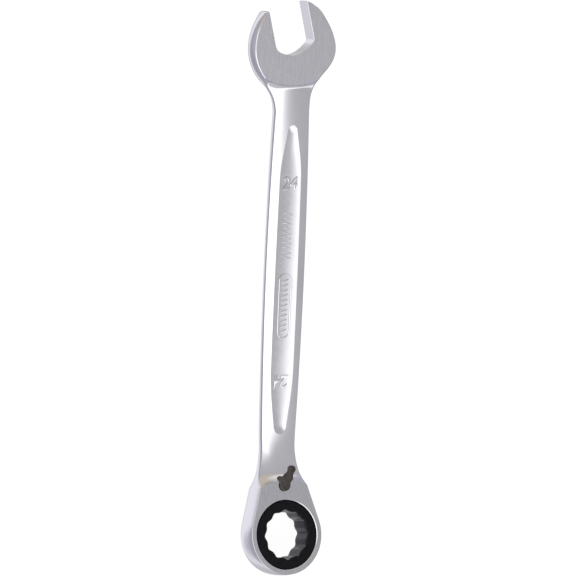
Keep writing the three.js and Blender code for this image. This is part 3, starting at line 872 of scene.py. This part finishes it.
def forged_body():
    """The forging with its holes cut, its finishes set and its neck bent."""
    body = forged_shell()
    for cutter in (gap_cutter(), bore_cutter(), lever_hole_cutter(), pocket_cutter()):
        cut(body, cutter)
    mesh = body.data
    mesh.materials.clear()
    for material in (CHROME, GROUND, PANEL):
        mesh.materials.append(material)
    shade(mesh, 32)
    lines = [crease(v.co) for v in mesh.vertices]
    for edge in mesh.edges:
        a, b = edge.vertices
        if lines[a] and lines[a] == lines[b]:
            edge.use_edge_sharp = True
    for polygon in mesh.polygons:
        polygon.material_index = finish_of(polygon.center, polygon.normal)
    co = np.array([v.co for v in mesh.vertices], float)
    mesh.vertices.foreach_set("co", to_row(co).astype(np.float32).ravel())
    mesh.update()
    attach(body, "handle")
    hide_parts("wrench_body")


# ---- Marks raised in the panel ----

def raised_mark(name, obj, s, turn, lift):
    """Lays a flat mark, drawn about its own middle, on the panel's floor at s."""
    mesh = obj.data
    mesh.materials.clear()
    mesh.materials.append(CHROME)
    mesh.materials.append(PAINTED_SHADE)
    for polygon in mesh.polygons:
        # Steep sides get the darker chrome: painted shade that outlines each mark.
        polygon.material_index = 1 if abs(polygon.normal[2]) < 0.35 else 0
    co = np.array([v.co for v in mesh.vertices], float)
    c, d = math.cos(turn), math.sin(turn)
    x = co[:, 0] * c - co[:, 1] * d
    along = co[:, 0] * d + co[:, 1] * c + s
    z = surface_height(x, along) + co[:, 2] + lift
    mesh.vertices.foreach_set("co", to_row(np.column_stack([x, along, z])).astype(np.float32).ravel())
    mesh.update()
    obj.name = name
    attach(obj, "handle")


def size_numeral(name, s, turn):
    """The nominal size in slanted, soft-edged figures."""
    curve = bpy.data.curves.new(name, "FONT")
    curve.body = f"{NOMINAL_SIZE:.0f}"
    curve.size = NUMERAL_HEIGHT / 0.7
    curve.align_x = "CENTER"
    curve.align_y = "CENTER"
    curve.shear = 0.18
    curve.extrude = 0.1
    curve.offset = 0.02
    curve.bevel_depth = 0.32
    curve.bevel_resolution = 2
    curve.resolution_u = 8
    text = bpy.data.objects.new(name + "_text", curve)
    bpy.context.scene.collection.objects.link(text)
    graph = bpy.context.evaluated_depsgraph_get()
    mesh = bpy.data.meshes.new_from_object(text.evaluated_get(graph))
    bpy.data.objects.remove(text)
    mesh.transform(Matrix.Diagonal((0.87, 1, 1, 1)))
    obj = bpy.data.objects.new(name, mesh)
    bpy.context.scene.collection.objects.link(obj)
    shade(mesh, 40)
    raised_mark(name, obj, s, turn, 0.02)


def stadium(length, width, step=0.5):
    """A bar's outline with round ends, along y."""
    radius = width / 2
    half = length / 2 - radius
    side = list(np.arange(-half, half, 1.0))
    return chain(arc(0, -half, radius, math.pi, 2 * math.pi, step), [(radius, y) for y in side],
                 arc(0, half, radius, 0, math.pi, step), [(-radius, -y) for y in side])


def badge_rim():
    """A narrow raised border round the plain badge."""
    shape = stadium(BADGE_LENGTH, BADGE_WIDTH)
    section = [(0, -0.1), (-0.03, 0.2), (-0.16, 0.36), (-0.32, 0.42), (-0.54, 0.42), (-0.7, 0.36),
               (-0.83, 0.2), (-0.86, -0.1)]
    loops = [[(x, y, z) for x, y in offset_loop(shape, d)] for d, z in section]
    rim = loft("badge_rim", loops, [CHROME], closed=True, smooth_angle=50)
    raised_mark("badge_rim", rim, BADGE_S, 0, 0)


def small_bar(length, width):
    """A small rounded bar that stands on a surface."""
    shape = stadium(length, width, 0.12)
    layers = [(0, -0.1), (0, 0.06), (-0.1, 0.2), (-0.28, 0.3)]
    return prism("bar", shape, layers, [CHROME], 50)


def joined(name, pieces):
    """Several small meshes as one piece."""
    verts, faces = [], []
    for obj in pieces:
        start = len(verts)
        verts += [tuple(v.co) for v in obj.data.vertices]
        faces += [tuple(start + i for i in p.vertices) for p in obj.data.polygons]
        bpy.data.objects.remove(obj)
    return new_object(name, verts, faces, [CHROME], 50)


def bar_row(lengths, width, spacing, slant):
    """Small bars at equal steps along y, centred, each turned by slant degrees."""
    middle = (len(lengths) - 1) / 2
    bars = []
    for i, length in enumerate(lengths):
        bar = small_bar(length, width)
        bar.data.transform(Matrix.Translation((0, (i - middle) * spacing, 0))
                           @ Matrix.Rotation(math.radians(slant), 4, "Z"))
        bars.append(bar)
    return bars


def badge_ribs():
    """Plain slanted ribs along the badge."""
    count = 11
    spacing = (BADGE_LENGTH - 8.5) / (count - 1)
    pieces = bar_row([4.6] * count, 0.9, spacing, -62)
    raised_mark("badge_ribs", joined("badge_ribs", pieces), BADGE_S, 0, 0)


def index_ticks():
    """A row of plain ticks between the badge and the upper numeral."""
    rng = random.Random(24)
    lengths = [rng.uniform(4.6, 6.4) for _ in range(10)]
    pieces = bar_row(lengths, 0.85, 2.65, 80)
    raised_mark("index_ticks", joined("index_ticks", pieces), TICKS_S, 0, 0)


# ---- Ratchet pieces, drawn in the head's frame ----

def toothed_radius(a):
    """The outer teeth's radius at an angle: flat tips and roots with straight flanks."""
    pitch = 2 * math.pi / TEETH
    phase = abs((a / pitch + 0.5) % 1.0 - 0.5)
    share = min(max((0.36 - phase) / 0.26, 0), 1)
    return TOOTH_ROOT_RADIUS + (TOOTH_TIP_RADIUS - TOOTH_ROOT_RADIUS) * share


def drive_radius(a):
    """The double hexagon's radius at an angle, with a corner on the head's long axis."""
    turn = math.radians(60)
    flat = DRIVE_FLATS / 2
    one_hexagon = flat / math.cos(a % turn - turn / 2)
    other_hexagon = flat / math.cos((a + turn / 2) % turn - turn / 2)
    notch = float(larger(one_hexagon, other_hexagon, 0.5))
    return -float(larger(-notch, 0.3 - DRIVE_FLATS / math.sqrt(3), 0.4))


def ratchet_gear():
    """One section all round: the flared hole, the rounded hub and the band of teeth."""
    count = TEETH * 12
    half = GEAR_HALF
    low, high = GEAR_BAND
    tooth_ease = 0.2

    def flared(amount, cone):
        return lambda a: max(drive_radius(a) + amount, cone)

    def eased_teeth(a):
        return min(toothed_radius(a), TOOTH_TIP_RADIUS - tooth_ease)

    mouth = [(flared(0.0, 12.2), half - 1.5), (flared(0.03, 12.5), half - 0.7),
             (flared(0.1, 12.8), half - 0.28), (flared(0.25, 13.05), half - 0.05),
             (flared(0.36, 13.25), half)]
    shoulder = [(HUB_RADIUS - 0.38, half), (HUB_RADIUS - 0.28, half - 0.02),
                (HUB_RADIUS - 0.06, half - 0.24), (HUB_RADIUS, half - 0.34)]
    band = [(HUB_RADIUS, high), (eased_teeth, high), (toothed_radius, high - tooth_ease),
            (toothed_radius, low + tooth_ease), (eased_teeth, low), (HUB_RADIUS, low)]
    lower = [(radius, -z) for radius, z in reversed(mouth + shoulder)]
    loops = [ring_loop(radius, z, count) for radius, z in mouth + shoulder + band + lower]
    gear = loft("ratchet_ring", loops, [BLACK, BORE], closed=True, smooth_angle=24)
    for polygon in gear.data.polygons:
        in_hole = math.hypot(polygon.center[0], polygon.center[1]) < 14.4
        polygon.material_index = 1 if in_hole and abs(polygon.center[2]) < half - 0.02 else 0
    place(gear, HEAD)
    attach(gear, "ratchet")
    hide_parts("ratchet_gear")


def split_ring(name, inner, outer, low, high, open_half, material, body, node, matrix):
    """A flat spring ring with rounded edges, open toward +Y."""
    start = math.pi / 2 + open_half
    end = math.pi / 2 - open_half + 2 * math.pi
    middle, half = (inner + outer) / 2, (outer - inner) / 2
    level, thick = (low + high) / 2, (high - low) / 2
    section = []
    for i in range(24):
        a = 2 * math.pi * i / 24
        c, s = math.cos(a), math.sin(a)
        section.append((math.copysign(abs(c) ** 0.25, c) * half, math.copysign(abs(s) ** 0.25, s) * thick))
    steps = max(24, int((end - start) * middle / 0.5))
    loops = []
    for i in range(steps + 1):
        a = start + (end - start) * i / steps
        near = min(i, steps - i) * (end - start) / steps * middle
        narrow = math.sqrt(min(1.0, 0.35 + near / (2 * half)))
        loops.append([((middle + r * narrow) * math.cos(a), (middle + r * narrow) * math.sin(a), level + z)
                      for r, z in section])
    ring = loft(name, loops, [material], caps=True, smooth_angle=40)
    place(ring, matrix)
    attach(ring, body)
    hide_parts(node)


def pawl():
    """The CAD pawl keeps its cut teeth; a small bevel eases its edges."""
    node = frame["nodes"]["pawl"]
    node.data.materials.clear()
    node.data.materials.append(STEEL)
    bevel = node.modifiers.new("eased", "BEVEL")
    bevel.width = 0.06 * MM
    bevel.segments = 2
    bevel.limit_method = "ANGLE"
    bevel.angle_limit = math.radians(40)


def lever_outline():
    """The lever from above: a round base, one long wing and a curved thumb."""
    base = arc(0, 0, 3.25, math.radians(200), math.radians(396), 0.25)
    return chain(base,
                 bezier([base[-1], (2.2, 2.9), (2.6, 3.9)], 8),
                 bezier([(2.6, 3.9), (3.3, 5.3), (2.2, 6.3)], 9),
                 bezier([(2.2, 6.3), (1.6, 7.6), (1.95, 9.3)], 9),
                 bezier([(1.95, 9.3), (2.3, 11.2), (0.9, 12.1), (-0.3, 11.9)], 14),
                 bezier([(-0.3, 11.9), (-2.9, 11.2), (-2.65, 9.3)], 12),
                 bezier([(-2.65, 9.3), (-2, 8), (-2.1, 6.9)], 8),
                 bezier([(-2.1, 6.9), (-2.9, 5.9), (-3.2, 4.3)], 9),
                 bezier([(-3.2, 4.3), (-3.6, 3.4), (-4.8, 3)], 7),
                 bezier([(-4.8, 3), (-6.2, 2.6), (-6.1, 1.3)], 9),
                 bezier([(-6.1, 1.3), (-5.9, 0.5), (-4.6, 0.2)], 8),
                 bezier([(-4.6, 0.2), (-3.7, -0.1), base[0]], 8))


def lever_plate():
    shape = lever_outline()
    low, high = PLATE_BOTTOM_Z, PLATE_TOP_Z
    layers = [(-0.3, low), (-0.08, low + 0.06), (0, low + 0.25), (0.04, (low + high) / 2),
              (0, high - 0.4), (-0.08, high - 0.16), (-0.24, high - 0.03), (-0.4, high)]
    return prism("lever_plate", shape, layers, [GUNMETAL], 50)


def lever_rib(x, y, half_length):
    """One raised line across the lever's plate."""
    bar = small_bar(2 * half_length, 0.55)
    bar.data.transform(Matrix.Translation((x, y, PLATE_TOP_Z)) @ Matrix.Rotation(math.pi / 2, 4, "Z"))
    return bar


def reversing_lever():
    """Plate and shank, with the seal's groove, the clip's groove and the detent's cross hole."""
    seal_low, seal_high, seal_floor = SEAL_Z - 0.55, SEAL_Z + 0.55, 2.25
    stem, clip_floor = 2.2, 1.65
    profile = [(0, -6.5), (stem, -6.5), (stem, -6.1), (clip_floor, -6.1), (clip_floor, -4.9),
               (stem, -4.9), (stem, -3.7), (SHANK_RADIUS, -3.7), (SHANK_RADIUS, seal_low),
               (seal_floor, seal_low), (seal_floor, seal_high), (SHANK_RADIUS, seal_high),
               (SHANK_RADIUS, PLATE_BOTTOM_Z + 0.4), (0, PLATE_BOTTOM_Z + 0.4)]
    shank = turned("shank", rounded_profile(profile, 0.12), [GUNMETAL], 64, smooth_angle=40)
    hole = turned("detent_hole", [(0, -1.9), (1.15, -1.9), (1.15, 6), (0, 6)], [], 32)
    hole.data.transform(Matrix.Rotation(math.pi / 2, 4, "X"))
    cut(shank, hole)
    ribs = [lever_rib(-0.3, 7.9 + 0.95 * i, 1.45 - 0.12 * i) for i in range(4)]
    ribs += [lever_rib(0, 6.2, 1.2), lever_rib(-0.2, 4.9, 2.0), lever_rib(-0.8, 3.6, 2.2)]
    lever = joined("reversing_lever_detailed", [shank, lever_plate()] + ribs)
    lever.data.materials.clear()
    lever.data.materials.append(GUNMETAL)
    shade(lever.data, 40)
    place(lever, lever_matrix())
    lever.visible_glossy = False
    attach(lever, "lever")
    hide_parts("reversing_lever")


def lever_o_ring():
    wire, radius, sides = 0.35, 2.85, 20
    turns = [2 * math.pi * i / sides for i in range(sides)]
    profile = [(radius + wire * math.cos(a), SEAL_Z + wire * math.sin(a)) for a in turns]
    ring = turned("lever_seal", profile, [RUBBER], 72)
    place(ring, lever_matrix())
    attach(ring, "lever")
    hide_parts("lever_o_ring")


def detent_spring():
    """A fine coil in the shank's cross hole."""
    turns, length, radius, wire = 3.0, 1.7, 0.68, 0.14
    start_y, steps, sides = -0.25, 160, 12
    rise = length / (radius * 2 * math.pi * turns)
    loops = []
    for i in range(steps + 1):
        t = i / steps
        a = 2 * math.pi * turns * t
        out = np.array((math.cos(a), 0, math.sin(a)))
        centre = radius * out + np.array((0, start_y + length * t, 0))
        along = np.array((-math.sin(a), rise, math.cos(a)))
        along /= np.linalg.norm(along)
        across = np.cross(along, out)
        loops.append([tuple(centre + wire * (math.cos(b) * out + math.sin(b) * across))
                      for b in np.linspace(0, 2 * math.pi, sides, endpoint=False)])
    spring = loft("detent_coil", loops, [SPRING], caps=True)
    place(spring, lever_matrix())
    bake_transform(spring)
    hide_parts("detent_spring")


def detent_plunger():
    """A pin with a round nose that presses on the pawl's back."""
    radius, length = 0.85, 3.4
    profile = [(0, 0), (radius - 0.1, 0), (radius, 0.1)]
    for i in range(9):
        a = i / 8 * math.pi / 2
        nose = radius * math.cos(a) if i < 8 else 0
        profile.append((nose, length - radius + radius * math.sin(a)))
    pin = turned("detent_pin", profile, [STEEL], 40)
    pin.data.transform(Matrix.Translation((0, -0.6, 0)) @ Matrix.Rotation(math.pi / 2, 4, "X"))
    place(pin, lever_matrix())
    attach(pin, "plunger")
    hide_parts("detent_plunger")


# ---- Stage ----

def floor():
    """A pale floor that glows a little, so that it stays white round the piece."""
    s = Shader("pale_floor", (0.12, 0.12, 0.12), 0.0, 0.8)
    s.colour_by(s.noise(3, 2), (0.115, 0.115, 0.118), (0.125, 0.125, 0.128))
    s.bsdf.inputs["Emission Color"].default_value = (1, 1, 1, 1)
    s.bsdf.inputs["Emission Strength"].default_value = 0.9
    half = 6.0
    verts = [(-half, -half, 0), (half, -half, 0), (half, half, 0), (-half, half, 0)]
    obj = new_object("floor", verts, [(0, 1, 2, 3)], [s.material])
    obj.visible_glossy = False


class Studio:
    """A world whose colour depends only on the direction looked in."""

    def __init__(self):
        made = bpy.data.worlds.new("studio")
        bpy.context.scene.world = made
        made.use_nodes = True
        self.tree = made.node_tree
        self.direction = self.tree.nodes.new("ShaderNodeTexCoord").outputs["Generated"]

    def toward(self, axis, start, end):
        """0 where a direction's share along the axis is under start, 1 where it is over end."""
        dot = self.tree.nodes.new("ShaderNodeVectorMath")
        dot.operation = "DOT_PRODUCT"
        dot.inputs[1].default_value = axis
        self.tree.links.new(self.direction, dot.inputs[0])
        ramp = self.tree.nodes.new("ShaderNodeMapRange")
        ramp.interpolation_type = "SMOOTHSTEP"
        ramp.inputs["From Min"].default_value = start
        ramp.inputs["From Max"].default_value = end
        self.tree.links.new(dot.outputs["Value"], ramp.inputs["Value"])
        return ramp.outputs["Result"]

    def painted(self, first, axis, start, end, second):
        """First away from the axis and second toward it, eased from start to end."""
        factor = self.toward(axis, start, end)
        mix = self.tree.nodes.new("ShaderNodeMix")
        mix.data_type = "RGBA"
        for socket, colour in (("A", first), ("B", second)):
            if isinstance(colour, tuple):
                mix.inputs[socket].default_value = (*colour, 1)
            else:
                self.tree.links.new(colour, mix.inputs[socket])
        self.tree.links.new(factor, mix.inputs["Factor"])
        return mix.outputs["Result"]


def world():
    """A painted studio, which the chrome mirrors."""
    studio = Studio()
    paint = studio.painted
    # White overhead and to the left, grey to the right and the far end, lavender at the horizon
    sky = paint((1.9, 1.9, 1.92), (1, 1.8, 0), 0, 0.36, (0.68, 0.68, 0.7))
    sky = paint(sky, (0, 0, -1), -0.26, -0.06, (0.62, 0.6, 0.7))
    # A warm wall past the jaw, pale ones low at both ends, and a dark strip low on the right
    sky = paint(sky, (-0.25, 0.93, 0.1), 0.5, 0.8, (0.85, 0.76, 0.62))
    sky = paint(sky, (0.45, -0.8, 0.4), 0.86, 0.96, (0.85, 0.85, 0.87))
    sky = paint(sky, (0.5, 0.86, 0.08), 0.945, 0.99, (1.2, 1.19, 1.2))
    sky = paint(sky, (0.87, 0, -0.5), 0.88, 0.97, (0.2, 0.2, 0.22))
    # The pale ground, which the side walls mirror, dimmer to the left and to the right
    below = paint((1.32, 1.3, 1.37), (-0.87, -0.35, 0.5), -0.05, 0.2, (0.58, 0.565, 0.64))
    below = paint(below, (0.87, 0, -0.5), 0.2, 0.5, (0.75, 0.75, 0.78))
    sky = paint(sky, (-0.5, 0, -0.87), 0.3, 0.6, below)
    sky = paint(sky, (-1, 0.1, -0.1), 0.86, 0.98, (0.7, 0.68, 0.77))
    studio.tree.links.new(sky, studio.tree.nodes["Background"].inputs["Color"])


def overhead_light():
    """One wide soft light above and to the left."""
    light = bpy.data.lights.new("overhead_left", "AREA")
    light.shape = "RECTANGLE"
    light.size, light.size_y = 1.6, 3.0
    light.energy = 8
    obj = bpy.data.objects.new("overhead_left", light)
    bpy.context.scene.collection.objects.link(obj)
    place_at, target = Vector((-0.9, 0, 1.9)), Vector((-0.4, 0, 0))
    obj.location = place_at
    obj.rotation_euler = (target - place_at).to_track_quat("-Z", "Y").to_euler()


def camera():
    """The main view, stated in the ring head's frame."""
    yaw, pitch, roll = math.radians(30.3), math.radians(-3.797), math.radians(3.555)
    across, up, distance = -3.77, -136.16, 1389.7
    turn = Matrix.Rotation(roll, 3, "Z") @ Matrix.Rotation(pitch, 3, "X") @ Matrix.Rotation(yaw, 3, "Y")
    back = turn.transposed()
    place_at = back @ Vector((-across, -up, distance)) * MM
    data = bpy.data.cameras.new("camera")
    data.lens = 157.39
    data.sensor_width = 36
    data.clip_start = 0.05
    data.clip_end = 30
    obj = bpy.data.objects.new("camera", data)
    bpy.context.scene.collection.objects.link(obj)
    obj.matrix_world = HEAD @ (Matrix.Translation(place_at) @ back.to_4x4())
    bpy.context.scene.camera = obj


bpy.context.scene.view_settings.view_transform = "Standard"
camera()
world()
overhead_light()
floor()
forged_body()
size_numeral("size_numeral_upper", UPPER_NUMERAL_S, 0)
size_numeral("size_numeral_lower", LOWER_NUMERAL_S, math.pi)
badge_rim()
badge_ribs()
index_ticks()
ratchet_gear()
split_ring("snap_ring", HUB_RADIUS + 0.35, GROOVE_RADIUS - 0.3, -5.65, -4.6, math.radians(7),
           SPRING, "handle", "gear_snap_ring", HEAD)
split_ring("shank_clip", 1.95, 3.2, -5.8, -5.2, math.radians(38),
           SPRING, "lever", "lever_clip", lever_matrix())
pawl()
reversing_lever()
lever_o_ring()
detent_spring()
detent_plunger()
